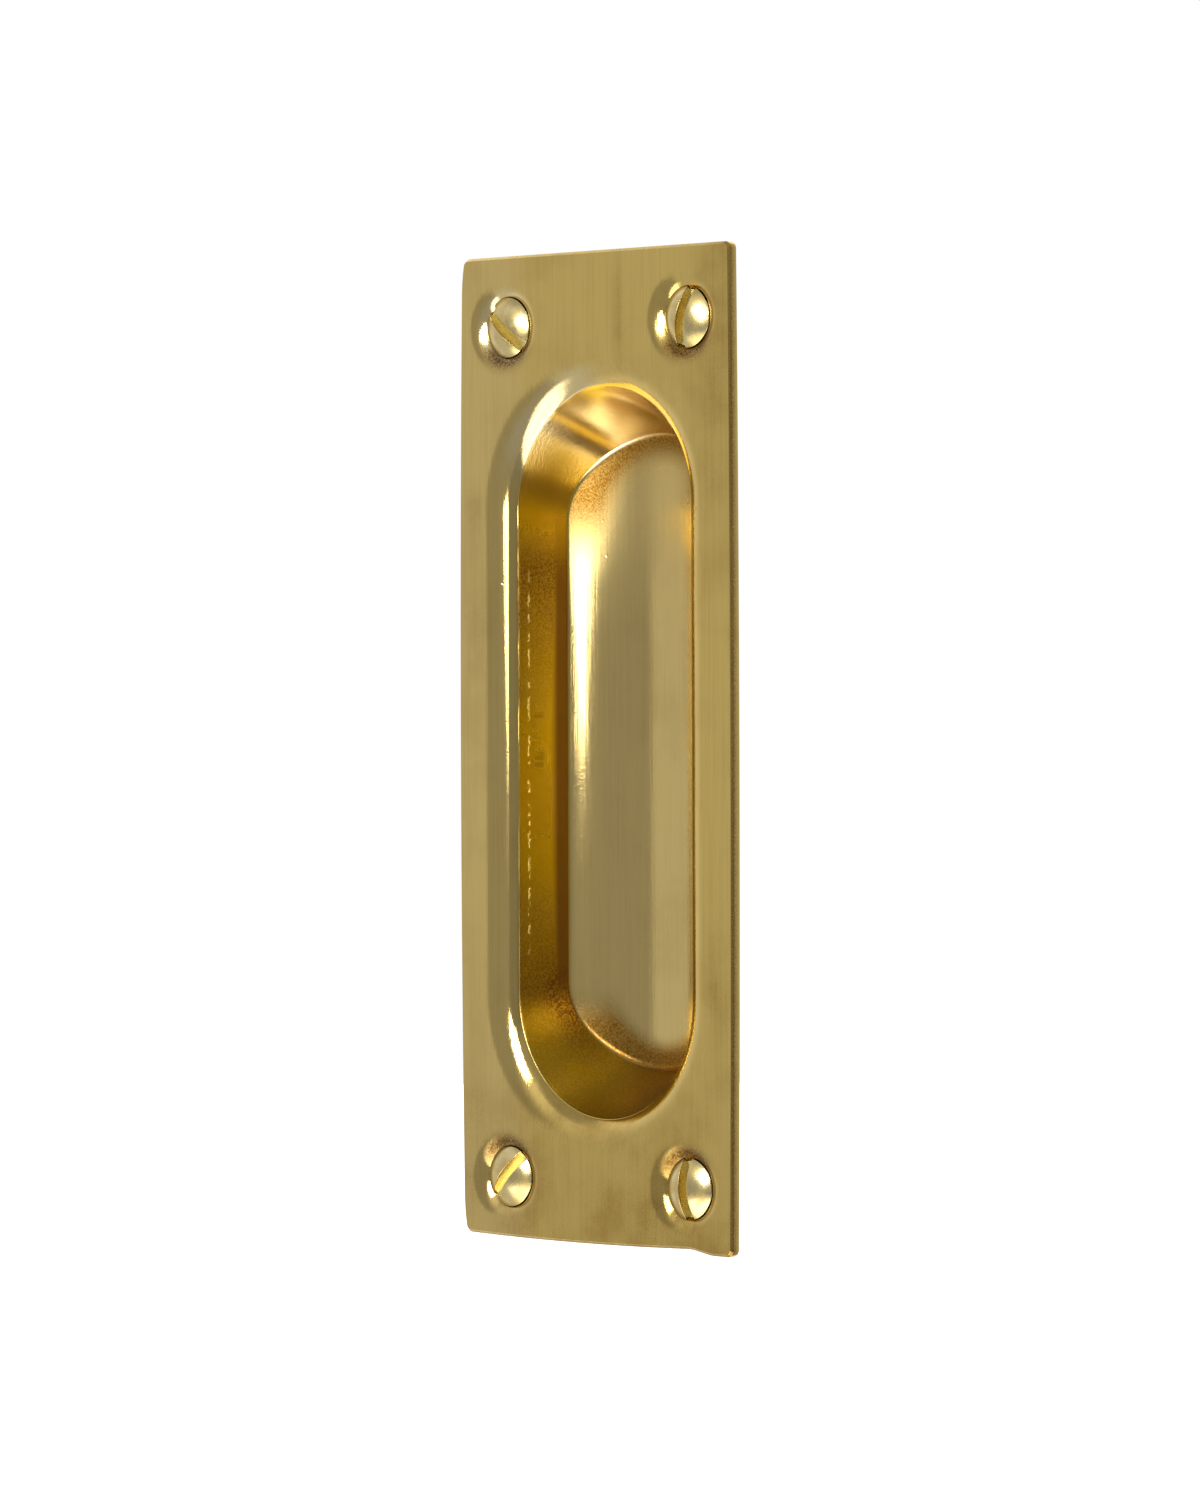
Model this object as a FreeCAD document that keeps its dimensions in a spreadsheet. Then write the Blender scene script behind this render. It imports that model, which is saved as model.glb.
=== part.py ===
"""Flush pull for a sliding door: a drawn brass plate with an obround finger pocket, and its four screws.

Frame, in millimetres: Z is up, X runs across the plate, and the front looks along -Y. The origin is the
centre of the screw pattern, on the flat back of the plate, which lies on the door at Y = 0.
"""
import FreeCAD, Part
import math
import operator
import os
import Sketcher
from collections import namedtuple
from types import SimpleNamespace

# The driving dimensions, in millimetres and degrees
SIZES = {
    # The sheet and its trimmed outline, whose sides are a little bowed
    "sheet_thickness": 1.2,
    "plate_width": 44.45,
    "plate_height": 114.3,
    "outline_rise": 0.6,
    "left_bow": 0.42,
    "right_bow": 0.3,
    "bottom_bow": 0.3,
    "corner_ease": 0.5,
    "ease_length": 4.7,
    "corner_round": 0.85,
    "edge_break": 0.3,
    # The lip that the trimming left at the lower right corner
    "lip_drop": 0.28,
    "lip_length": 3.7,
    "lip_ramp": 3.3,
    # The pocket: the flat margins beside and beyond its rim, its drafted walls and its gutter-shaped floor
    "side_margin": 3.945,
    "end_margin": 10.45,
    "side_draft": 20.0,
    "end_draft": 28.4,
    "floor_depth": 11.9,
    "floor_radius": 20.0,
    "crease_radius": 1.0,
    # The rim: the face sinks in a wide shallow roll, then turns over a tighter nose into the wall
    "roll_margin": 3.4,
    "roll_radius": 6.1,
    "nose_bend": 1.0,
    # The dimpled screw seats
    "screw_inset": 7.66,
    "dimple_bend": 0.96,
    "seat_margin": 0.03,
    "seat_clearance": 0.05,
    "hole_clearance": 1.5,
    # The slotted raised countersunk wood screw, its thread left as a plain shank of the outer diameter
    "countersink_angle": 82.0,
    "head_diameter": 6.95,
    "dome_height": 1.2,
    "slot_width": 1.3,
    "slot_depth": 1.5,
    "screw_length": 7.94,
    "shank_diameter": 3.5,
    "point_length": 2.6,
    # How far each screw's slot is turned from level, seen from the front
    "turn_top_left": -42.0,
    "turn_top_right": 76.0,
    "turn_bottom_left": 48.0,
    "turn_bottom_right": 93.0,
}

# How far the cutting shapes run past what they cut
OVERRUN = 2.0
# The slope to which the shallow roll is drawn; the end of it lies inside the pocket's wall
ROLL_SLOPE = 60.0
# The slope of the plain cone behind the roll, about half the slope at which the nose takes over in front
BACK_SLOPE = 16.0
# How much of the thinnest wall beside it the rounding of an edge may take
EDGE_SHARE = 0.8
# Two measures this close are the same
TOUCH = 1e-4

OPERATIONS = {"+": operator.add, "-": operator.sub, "*": operator.mul, "/": operator.truediv}


class Term:
    """A size that knows both its present number and the expression that ties it to the size sheet."""

    def __init__(self, value, text=None):
        self.value = value
        self.text = str(value) if text is None else text

    def __add__(self, other):
        return join(self, "+", other)

    def __radd__(self, other):
        return join(other, "+", self)

    def __sub__(self, other):
        return join(self, "-", other)

    def __rsub__(self, other):
        return join(other, "-", self)

    def __mul__(self, other):
        return join(self, "*", other)

    def __rmul__(self, other):
        return join(other, "*", self)

    def __truediv__(self, other):
        return join(self, "/", other)

    def __neg__(self):
        return join(0, "-", self)


def as_term(value):
    return value if isinstance(value, Term) else Term(value)


def join(first, sign, second):
    first, second = as_term(first), as_term(second)
    return Term(OPERATIONS[sign](first.value, second.value), f"({first.text} {sign} {second.text})")


def sine(angle):
    return Term(math.sin(math.radians(angle.value)), f"sin({angle.text})")


def cosine(angle):
    return Term(math.cos(math.radians(angle.value)), f"cos({angle.text})")


def tangent(angle):
    return Term(math.tan(math.radians(angle.value)), f"tan({angle.text})")


def arctangent(slope):
    return Term(math.degrees(math.atan(slope.value)), f"(atan({slope.text}) / 1deg)")


def least(*terms):
    return Term(min(term.value for term in terms), f"min({'; '.join(term.text for term in terms)})")


def size_sheet(doc):
    """The spreadsheet with one named cell for each driving dimension, and the terms that point to them."""
    sheet = doc.addObject("Spreadsheet::Sheet", "sizes")
    for row, (name, value) in enumerate(SIZES.items(), start=1):
        sheet.set(f"A{row}", name)
        sheet.set(f"B{row}", str(value))
        sheet.setAlias(f"B{row}", name)
    doc.recompute()
    s = SimpleNamespace(**{name: Term(value, f"sizes.{name}") for name, value in SIZES.items()})
    # What follows from the driving dimensions: where the pocket's walls would meet the face, the screw
    # pattern, and the bends as the front of the sheet shows them
    s.mouth_width = s.plate_width - 2 * (s.side_margin + s.roll_margin)
    s.mouth_length = s.plate_height - 2 * (s.end_margin + s.roll_margin)
    s.screw_spacing_x = s.plate_width - 2 * s.screw_inset
    s.screw_spacing_z = s.plate_height - 2 * s.screw_inset
    s.nose_radius = s.nose_bend + s.sheet_thickness
    s.dimple_roll = s.dimple_bend + s.sheet_thickness
    s.hole_diameter = s.shank_diameter + s.hole_clearance
    return s


# A corner of a closed outline; with a centre, an arc leads from it to the next corner, anticlockwise or not
Corner = namedtuple("Corner", "x y centre anticlockwise", defaults=(None, True))


class Drawing:
    """A sketch on one of its body's origin planes, whose corners follow the size sheet."""

    def __init__(self, body, name, plane, **offsets):
        self.sketch = body.newObject("Sketcher::SketchObject", name)
        self.sketch.AttachmentSupport = [(origin_feature(body, plane), "")]
        self.sketch.MapMode = "FlatFace"
        for axis, offset in offsets.items():
            self.sketch.setExpression(f"AttachmentOffset.Base.{axis}", as_term(offset).text)

    def measure(self, kind, edge, end, term):
        """Ties one coordinate of a point to a term; on an axis, the point is simply kept there."""
        if term.text == "0":
            axis = -2 if kind == "DistanceX" else -1
            self.sketch.addConstraint(Sketcher.Constraint("PointOnObject", edge, end, axis))
            return
        index = self.sketch.addConstraint(Sketcher.Constraint(kind, -1, 1, edge, end, term.value))
        self.sketch.setExpression(f"Constraints[{index}]", term.text)

    def line(self, start, end):
        points = [FreeCAD.Vector(point.x.value, point.y.value, 0) for point in (start, end)]
        return self.sketch.addGeometry(Part.LineSegment(*points)), 1, 2

    def arc(self, start, end):
        """An arc from start to end; its ends in the sketch are always in anticlockwise order."""
        x, y = (as_term(place) for place in start.centre)
        angles = [math.atan2(p.y.value - y.value, p.x.value - x.value) for p in (start, end)]
        radius = math.hypot(start.x.value - x.value, start.y.value - y.value)
        circle = Part.Circle(FreeCAD.Vector(x.value, y.value, 0), FreeCAD.Vector(0, 0, 1), radius)
        if not start.anticlockwise:
            angles.reverse()
        edge = self.sketch.addGeometry(Part.ArcOfCircle(circle, *angles))
        # The two ends keep the centre on their bisector, so one of its coordinates is left to tie
        across = abs(end.x.value - start.x.value) > abs(end.y.value - start.y.value)
        self.measure("DistanceY" if across else "DistanceX", edge, 3, y if across else x)
        return (edge, 1, 2) if start.anticlockwise else (edge, 2, 1)

    def outline(self, corners):
        """Draws a closed outline through the corners and ties every corner."""
        corners = [corner._replace(x=as_term(corner.x), y=as_term(corner.y)) for corner in corners]
        pairs = list(zip(corners, corners[1:] + corners[:1]))
        edges = [self.line(*pair) if pair[0].centre is None else self.arc(*pair) for pair in pairs]
        for (first, _, tail), (second, head, _) in zip(edges, edges[1:] + edges[:1]):
            self.sketch.addConstraint(Sketcher.Constraint("Coincident", first, tail, second, head))
        for corner, (edge, head, _) in zip(corners, edges):
            self.measure("DistanceX", edge, head, corner.x)
            self.measure("DistanceY", edge, head, corner.y)
        return self.sketch


def origin_feature(body, role):
    return next(item for item in body.Origin.OriginFeatures if item.Role == role)


def feature(body, kind, name, **settings):
    """Adds a feature to the body as its new tip. A setting that is a term is bound to the size sheet."""
    volume = body.Tip.Shape.Volume if body.Tip else 0.0
    made = body.newObject(f"PartDesign::{kind}", name)
    for key, value in settings.items():
        if isinstance(value, Term):
            made.setExpression(key, value.text)
        else:
            setattr(made, key, value)
    body.Tip = made
    body.Document.recompute()
    if kind in ("Pocket", "Groove") and made.Shape.Volume >= volume:
        raise RuntimeError(f"{name} cuts nothing")
    return made


def edge_names(body, edges):
    """The given edges of the body's present tip, in the form that a fillet or a chamfer takes."""
    numbered = enumerate(body.Tip.Shape.Edges, start=1)
    return body.Tip, [f"Edge{number}" for number, edge in numbered if any(map(edge.isSame, edges))]


def round_edges(body, name, edges, radius):
    return feature(body, "Fillet", name, Base=edge_names(body, edges), Radius=radius)


def upright_edges(shape, places):
    """The edges that run through the sheet at one of the given X coordinates."""
    def stands_at(edge, x):
        box = edge.BoundBox
        return box.YLength > TOUCH and box.XLength < TOUCH and abs(box.Center.x - x.value) < TOUCH

    return [edge for edge in shape.Edges if any(stands_at(edge, x) for x in places)]


def on_grid(body, name, original, s):
    """Repeats a feature that was made at the lower left screw at the other three."""
    across = (origin_feature(body, "X_Axis"), [""])
    upward = (origin_feature(body, "Z_Axis"), [""])
    return feature(body, "LinearPattern", name, Originals=[original],
                   Direction=across, Length=s.screw_spacing_x, Occurrences=2,
                   Direction2=upward, Length2=s.screw_spacing_z, Occurrences2=2)


def revolved(body, kind, name, corners, angle=360.0, reverse=False, **offsets):
    """A solid or a cut of revolution about the Y axis of a section drawn in X and Y."""
    sketch = Drawing(body, f"{name}_section", "XY_Plane", **offsets).outline(corners)
    return feature(body, kind, name, Profile=sketch, ReferenceAxis=(sketch, ["V_Axis"]), Angle=angle,
                   Reversed=reverse)


def seat_slope(s):
    """The slope of the screw seat's cone against the plate."""
    return 90 - s.countersink_angle / 2


def roll_end(s):
    """Where the dimple's roll runs out into the seat's cone: radius from the screw, depth below the face."""
    return s.head_diameter / 2 + s.seat_margin, s.dimple_roll * (1 - cosine(seat_slope(s)))


def plate_blank(doc, s):
    """The flat plate: trimmed outline, rounded corners, broken front edges, and four dimpled screw seats."""
    body = doc.addObject("PartDesign::Body", "plate_blank")
    top = s.outline_rise + s.plate_height / 2
    bottom = s.outline_rise - s.plate_height / 2
    lip_bottom = bottom - s.lip_drop
    bow_bottom = bottom + s.bottom_bow
    left = s.left_bow - s.plate_width / 2
    corner = left + s.corner_ease
    ease_top = top - s.ease_length
    ease_bottom = bow_bottom + s.ease_length
    right = s.plate_width / 2 - s.right_bow
    lip = s.plate_width / 2 - s.lip_length
    ramp = lip - s.lip_ramp

    def bow_centre(start, end, bow):
        """How far behind the crest of a side, bowed by bow between two coordinates, its centre lies."""
        chord = end - start
        return chord * chord / (8 * bow) + bow / 2

    # The left side eases in towards both corners, in arcs that start upright
    ease_centre = left + s.ease_length * s.ease_length / (2 * s.corner_ease) + s.corner_ease / 2
    left_centre = bow_centre(ease_bottom, ease_top, s.left_bow) - s.plate_width / 2
    right_centre = s.plate_width / 2 - bow_centre(lip_bottom, top, s.right_bow)
    bottom_centre = bottom + bow_centre(corner, ramp, s.bottom_bow)
    sketch = Drawing(body, "outline", "XZ_Plane").outline([
        Corner(corner, top, (ease_centre, ease_top)),
        Corner(left, ease_top, (left_centre, (ease_top + ease_bottom) / 2)),
        Corner(left, ease_bottom, (ease_centre, ease_bottom)),
        Corner(corner, bow_bottom, ((corner + ramp) / 2, bottom_centre)),
        Corner(ramp, bow_bottom),
        Corner(lip, lip_bottom),
        Corner(right, lip_bottom, (right_centre, (top + lip_bottom) / 2)),
        Corner(right, top),
    ])
    feature(body, "Pad", "slab", Profile=sketch, Length=s.sheet_thickness)
    round_edges(body, "corners", upright_edges(body.Tip.Shape, (corner, right)), s.corner_round)
    # A thin sheet or a tight corner has no room for a wide break
    edge_room = least(s.sheet_thickness, s.corner_round)
    front = min(body.Tip.Shape.Faces, key=lambda face: face.CenterOfMass.y)
    feature(body, "Chamfer", "front_edges", Base=edge_names(body, front.Edges),
            Size=least(s.edge_break, EDGE_SHARE * edge_room))

    dimple = revolved(body, "Revolution", "dimple_back", dimple_back(s), **lower_left(s))
    on_grid(body, "dimple_backs", dimple, s)
    seat = revolved(body, "Groove", "dimple_front", dimple_front(s), **lower_left(s))
    on_grid(body, "dimple_fronts", seat, s)
    return body


def lower_left(s):
    return {"x": -s.screw_spacing_x / 2, "z": -s.screw_spacing_z / 2}


def dimple_rim(s):
    """The radius at which the face starts to roll into the dimple, and how far behind the back it turns."""
    radius, _ = roll_end(s)
    return radius + s.dimple_roll * sine(seat_slope(s)), s.dimple_bend


def hole_edge(s, through):
    """A point on the punched edge of the hole, square to the sheet, some way through it from the front."""
    radius, depth = roll_end(s)
    hole = s.hole_diameter / 2
    fall = (radius - hole) / tangent(s.countersink_angle / 2)
    slope = seat_slope(s)
    return hole + through * sine(slope), depth + fall - s.sheet_thickness + through * cosine(slope)


def dimple_front(s):
    """What the dimple and its hole take away: the roll, the seat's cone, and the punched edge."""
    radius, depth = roll_end(s)
    rim, centre = dimple_rim(s)
    face = -s.sheet_thickness
    edge = hole_edge(s, Term(0))
    beyond = hole_edge(s, s.sheet_thickness + OVERRUN)
    return [Corner(0, face - OVERRUN), Corner(rim, face - OVERRUN),
            Corner(rim, face, (rim, centre), False), Corner(radius, face + depth),
            Corner(*edge), Corner(*beyond), Corner(0, beyond[1])]


def dimple_back(s):
    """The bump behind the dimple: the seat's cone, one sheet thickness further back."""
    edge = hole_edge(s, s.sheet_thickness)
    foot = edge[0] + edge[1] * tangent(s.countersink_angle / 2)
    return [Corner(0, -s.sheet_thickness / 2), Corner(foot, -s.sheet_thickness / 2),
            Corner(foot, 0), Corner(*edge), Corner(0, edge[1])]


def roll_section(s):
    """The half section of the shallow roll round the pocket's mouth, down to a slope inside the wall."""
    reach = s.mouth_width / 2 + s.roll_margin
    face = -s.sheet_thickness
    centre = face + s.roll_radius
    slope = Term(ROLL_SLOPE)
    inner = centre - s.roll_radius * cosine(slope)
    return [Corner(0, face - OVERRUN), Corner(reach, face - OVERRUN),
            Corner(reach, face, (reach, centre), False),
            Corner(reach - s.roll_radius * sine(slope), inner), Corner(0, inner)]


def backing_section(s):
    """The half section of the cone that backs the roll and keeps the sheet's thickness there."""
    reach = s.mouth_width / 2 + s.roll_margin
    middle = -s.sheet_thickness / 2
    run = 2 * s.roll_margin
    inner = run * tangent(Term(BACK_SLOPE))
    return [Corner(0, middle), Corner(reach, middle), Corner(reach, 0),
            Corner(reach - run, inner), Corner(0, inner)]


def dish(doc, name, section, s):
    """A shallow obround dish: a half section turned about each end of the pocket, and drawn along it."""
    body = doc.addObject("PartDesign::Body", name)
    end = (s.mouth_length - s.mouth_width) / 2
    cap = revolved(body, "Revolution", f"{name}_cap", section, 180.0, True, z=end)
    feature(body, "Mirrored", f"{name}_caps", Originals=[cap],
            MirrorPlane=(origin_feature(body, "XY_Plane"), [""]))
    sketch = Drawing(body, f"{name}_side_section", "XY_Plane", z=-end).outline(section)
    side = feature(body, "Pad", f"{name}_side", Profile=sketch, Length=2 * end)
    feature(body, "Mirrored", f"{name}_sides", Originals=[side],
            MirrorPlane=(origin_feature(body, "YZ_Plane"), [""]))
    return body


def well_lines(behind, s):
    """The lines that bound the pocket's walls, or the backs of its walls, as functions of the depth.

    The sides are planes with the side draft. Each round end is a cone that touches both sides and stands
    at the end draft at its far point. So its point lies where the two sides would meet, its axis leans
    inwards, and it touches each side along a line that leans too.
    """
    half_width = s.mouth_width / 2 + behind / cosine(s.side_draft)
    half_length = s.mouth_length / 2 + behind / cosine(s.end_draft)
    point = half_width / tangent(s.side_draft)
    point_z = half_length - point * tangent(s.end_draft)
    steep = sine(s.side_draft)
    half_angle = arctangent(steep * cosine(s.end_draft) / (1 - steep * sine(s.end_draft)))
    lean = s.end_draft - half_angle
    touch_slope = sine(lean) / (cosine(lean) - steep * sine(half_angle))
    # Along the axis, by the depth at which the far line stands square to it
    along = cosine(half_angle) / cosine(s.end_draft)
    return SimpleNamespace(
        side=lambda depth: half_width - depth * tangent(s.side_draft),
        touch=lambda depth: point_z + (point - depth) * touch_slope,
        far=lambda depth: (depth, half_length - depth * tangent(s.end_draft)),
        axis=lambda depth: (point - (point - depth) * along * cosine(lean),
                            point_z + (point - depth) * along * sine(lean)))


def rectangle(body, name, depth, half_width, half_length, s):
    """A rectangle parallel to the plate at a depth below its face."""
    # The plane of X and Z looks to the front, so a depth is a step against its normal
    return Drawing(body, name, "XZ_Plane", z=s.sheet_thickness - depth).outline([
        Corner(half_width, -half_length), Corner(half_width, half_length),
        Corner(-half_width, half_length), Corner(-half_width, -half_length)])


def drafted_well(doc, name, behind, s):
    """The pocket below its rim: drafted sides and round ends, down to the gutter-shaped floor."""
    body = doc.addObject("PartDesign::Body", name)
    lines = well_lines(behind, s)
    start = Term(-OVERRUN) if behind.value == 0 else s.sheet_thickness / 2
    deep = s.floor_depth + behind + 2 * OVERRUN
    mouth, foot = (rectangle(body, f"{name}_{place}", depth, lines.side(depth), lines.touch(depth), s)
                   for place, depth in (("mouth", start), ("foot", deep)))
    feature(body, "AdditiveLoft", f"{name}_sides", Profile=mouth, Sections=[foot], Ruled=True)

    section = [lines.axis(start), lines.far(start), lines.far(deep), lines.axis(deep)]
    leaning = Drawing(body, f"{name}_end_section", "YZ_Plane").outline(
        [Corner(depth - s.sheet_thickness, z) for depth, z in section])
    end = feature(body, "Revolution", f"{name}_end", Profile=leaning, ReferenceAxis=(leaning, ["Edge4"]),
                  Angle=360.0)
    feature(body, "Mirrored", f"{name}_ends", Originals=[end],
            MirrorPlane=(origin_feature(body, "XY_Plane"), [""]))
    above = rectangle(body, f"{name}_top_outline", start, s.plate_width, s.plate_height, s)
    feature(body, "Pocket", f"{name}_top", Profile=above, Length=s.mouth_width, Reversed=True)

    radius = s.floor_radius + behind
    axis = s.floor_depth - s.floor_radius - s.sheet_thickness
    # A triangle of sides 7, 24 and 25 puts both ends of the arc on the gutter
    half_arc = radius * 24 / 25
    arc_end = axis + radius * 7 / 25
    below = axis + radius + s.floor_depth
    gutter = Drawing(body, f"{name}_gutter_section", "XY_Plane").outline([
        Corner(-half_arc, arc_end, (0, axis), False), Corner(half_arc, arc_end),
        Corner(2 * radius, arc_end), Corner(2 * radius, below),
        Corner(-2 * radius, below), Corner(-2 * radius, arc_end)])
    feature(body, "Pocket", f"{name}_gutter", Profile=gutter, Length=2 * s.mouth_length, Midplane=True)
    return body


def crease_edges(body, radius):
    """The edges of the gutter of the given radius."""
    rounds = [face for face in body.Tip.Shape.Faces if isinstance(face.Surface, Part.Cylinder)]
    return next(face for face in rounds if abs(face.Surface.Radius - radius.value) < TOUCH).Edges


def rim_edges(shape, roll):
    """The edges where the shallow roll, of the given radius, meets the pocket's wall."""
    def is_roll(face):
        surface = face.Surface
        radius = getattr(surface, "MinorRadius", getattr(surface, "Radius", None))
        return radius is not None and abs(radius - roll) < TOUCH

    def is_wall(face):
        # The drafted sides face mostly across; the face of the plate and the cap's ends don't
        if isinstance(face.Surface, Part.Plane):
            return abs(face.Surface.Axis.x) > math.cos(math.pi / 4)
        return isinstance(face.Surface, (Part.BSplineSurface, Part.Cone))

    chosen = []
    for edge in shape.Edges:
        faces = shape.ancestorsOfType(edge, Part.Face)
        if any(map(is_roll, faces)) and any(map(is_wall, faces)):
            chosen.append(edge)
    return chosen


def boolean(doc, kind, name, **links):
    made = doc.addObject(f"Part::{kind}", name)
    for key, value in links.items():
        setattr(made, key, value)
    doc.recompute()
    return made


def pull_plate(doc, s):
    """The drawn plate: blank and pocket joined and hollowed, with the crease and the rim's nose rounded."""
    back = drafted_well(doc, "well_back", s.sheet_thickness, s)
    edges = crease_edges(back, s.floor_radius + s.sheet_thickness)
    feature(back, "Chamfer", "back_crease", Base=edge_names(back, edges), Size=s.sheet_thickness)
    outside = boolean(doc, "MultiFuse", "outside",
                      Shapes=[plate_blank(doc, s), dish(doc, "roll_backing", backing_section(s), s), back])

    front = drafted_well(doc, "well_front", Term(0), s)
    round_edges(front, "crease", crease_edges(front, s.floor_radius), s.crease_radius)
    hollow = boolean(doc, "MultiFuse", "hollow", Shapes=[dish(doc, "roll", roll_section(s), s), front])
    drawn = boolean(doc, "Cut", "drawn", Base=outside, Tool=hollow)
    plate = doc.addObject("PartDesign::Body", "pull_plate")
    plate.BaseFeature = drawn
    doc.recompute()
    round_edges(plate, "nose", rim_edges(plate.Tip.Shape, s.roll_radius.value), s.nose_radius)
    return plate


def wood_screw(doc, s):
    """One slotted raised countersunk wood screw, in the depth at which its cone lies on the dimpled seat."""
    body = doc.addObject("PartDesign::Body", "wood_screw")
    _, depth = roll_end(s)
    half_angle = s.countersink_angle / 2
    head = s.head_diameter / 2
    shank = s.shank_diameter / 2
    gap = s.seat_clearance / cosine(half_angle)
    rim = depth - s.sheet_thickness + (s.seat_margin - gap) / tangent(half_angle)
    crown = rim - s.dome_height
    dome_radius = head * head / (2 * s.dome_height) + s.dome_height / 2
    neck = rim + (head - shank) / tangent(half_angle)
    tip = rim + s.screw_length
    revolved(body, "Revolution", "turned", [
        Corner(0, crown, (0, crown + dome_radius)), Corner(head, rim), Corner(shank, neck),
        Corner(shank, tip - s.point_length), Corner(0, tip)])
    slot = Drawing(body, "slot_outline", "XZ_Plane", z=-crown).outline([
        Corner(-s.head_diameter, -s.slot_width / 2), Corner(s.head_diameter, -s.slot_width / 2),
        Corner(s.head_diameter, s.slot_width / 2), Corner(-s.head_diameter, s.slot_width / 2)])
    feature(body, "Pocket", "slot", Profile=slot, Length=s.slot_depth)
    return body


def mounting_screws(doc, s):
    """The four screws, each in its seat with its slot turned its own way."""
    screw = wood_screw(doc, s)
    turns = {(-1, 1): s.turn_top_left, (1, 1): s.turn_top_right,
             (-1, -1): s.turn_bottom_left, (1, -1): s.turn_bottom_right}
    copies = []
    for (across, up), turn in turns.items():
        copy = doc.addObject("App::Link", "screw")
        copy.LinkedObject = screw
        facing = FreeCAD.Rotation(FreeCAD.Vector(0, -1, 0), turn.value)
        copy.Placement = FreeCAD.Placement(FreeCAD.Vector(), facing)
        copy.setExpression("Placement.Base.x", (across * s.screw_spacing_x / 2).text)
        copy.setExpression("Placement.Base.z", (up * s.screw_spacing_z / 2).text)
        copy.setExpression("Placement.Rotation.Angle", turn.text)
        copies.append(copy)
    return boolean(doc, "Compound", "mounting_screws", Links=copies)


def check(doc, pieces):
    """Stops if any object failed to build, or if a piece is empty or not a valid solid."""
    failed = [item.Name for item in doc.Objects if {"Invalid", "Error"} & set(item.State)]
    if failed:
        raise RuntimeError(f"failed objects: {failed}")
    for piece, solids in pieces:
        shape = piece.Shape
        if shape.isNull() or not shape.isValid() or len(shape.Solids) != solids:
            raise RuntimeError(f"{piece.Label} is not {solids} valid solid(s)")
        print(piece.Label, solids, "solid(s)", round(shape.Volume, 1), "mm3", shape.optimalBoundingBox())


def main():
    doc = FreeCAD.newDocument("pull")
    s = size_sheet(doc)
    pieces = [(pull_plate(doc, s), 1), (mounting_screws(doc, s), 4)]
    doc.recompute()
    check(doc, pieces)
    os.makedirs("parts", exist_ok=True)
    for piece, _ in pieces:
        piece.Shape.exportStep(f"parts/{piece.Label}.step")


main()
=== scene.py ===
# %% [markdown]
# # A pocket door pull in drawn brass
#
# A flush pull sits in a sliding door: a brass plate with a deep finger pocket, held by four slotted
# screws. It was pressed from one sheet, so its whole character lies in how that sheet bends: the wide roll
# into the pocket, the tight nose, the steep wall, the soft crease at the floor, and the dimples under the
# screws. Polished metal has almost no colour of its own to show. It shows its surroundings, so this lesson
# has two halves: a shape whose bends are smooth enough to reflect well, and a room worth reflecting.
#
# The imported model comes first. It gives the frame that everything here is placed in.

# %% Load the imported model
import bmesh
import bpy
import numpy as np
from mathutils import Matrix, Vector
from mathutils.geometry import delaunay_2d_cdt


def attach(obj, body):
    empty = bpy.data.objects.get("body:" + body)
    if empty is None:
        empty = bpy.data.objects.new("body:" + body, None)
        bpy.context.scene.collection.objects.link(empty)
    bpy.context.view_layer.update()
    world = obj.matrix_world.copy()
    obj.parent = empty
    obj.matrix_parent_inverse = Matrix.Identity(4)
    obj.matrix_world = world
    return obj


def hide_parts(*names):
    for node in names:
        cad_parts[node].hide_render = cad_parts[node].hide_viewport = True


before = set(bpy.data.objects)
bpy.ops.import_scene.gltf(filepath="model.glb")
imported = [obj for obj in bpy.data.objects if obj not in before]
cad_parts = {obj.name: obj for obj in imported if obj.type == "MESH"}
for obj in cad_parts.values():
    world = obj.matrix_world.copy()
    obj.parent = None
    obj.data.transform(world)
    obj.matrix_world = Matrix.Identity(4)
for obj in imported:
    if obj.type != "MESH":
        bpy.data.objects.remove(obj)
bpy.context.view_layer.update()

scene = bpy.context.scene
scene.view_settings.view_transform = "Standard"

# %% [markdown]
# ## The camera
#
# The photograph was taken from the right at 45 degrees, almost level, with a long lens from about three
# quarters of a metre. A camera could be aimed with a Track To constraint, but here its place is measured,
# so it is clearer to write its axes down: right, up and back are three vectors, and together with the
# place they are the camera's matrix. The lens follows from the picture: a length in pixels, over the
# 1500 pixels of the picture's height, times the height of the sensor.

# %% Place the camera
MM = 0.001
SHEET = 1.2
FACE = -SHEET
PICTURE = np.array([1200, 1500])
SENSOR = 36.0
LENS_PIXELS = 6540.0
EYE_DISTANCE = 752.0


def camera_axes(azimuth, elevation, roll):
    """Right, up and back of a camera that stands at an azimuth, counted from the front towards +X, and at
    an elevation, both in degrees, then turned clockwise about its line of sight by the roll."""
    a, e, r = np.radians([azimuth, elevation, roll])
    back = np.array([np.sin(a) * np.cos(e), -np.cos(a) * np.cos(e), np.sin(e)])
    level = np.array([np.cos(a), np.sin(a), 0.0])
    upright = np.cross(back, level)
    return np.cos(r) * level - np.sin(r) * upright, np.sin(r) * level + np.cos(r) * upright, back


def placed(first, second, third, place):
    """The matrix of an object with three given axes at a place."""
    rows = np.c_[first, second, third, place]
    return Matrix([*rows.tolist(), [0, 0, 0, 1]])


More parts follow.
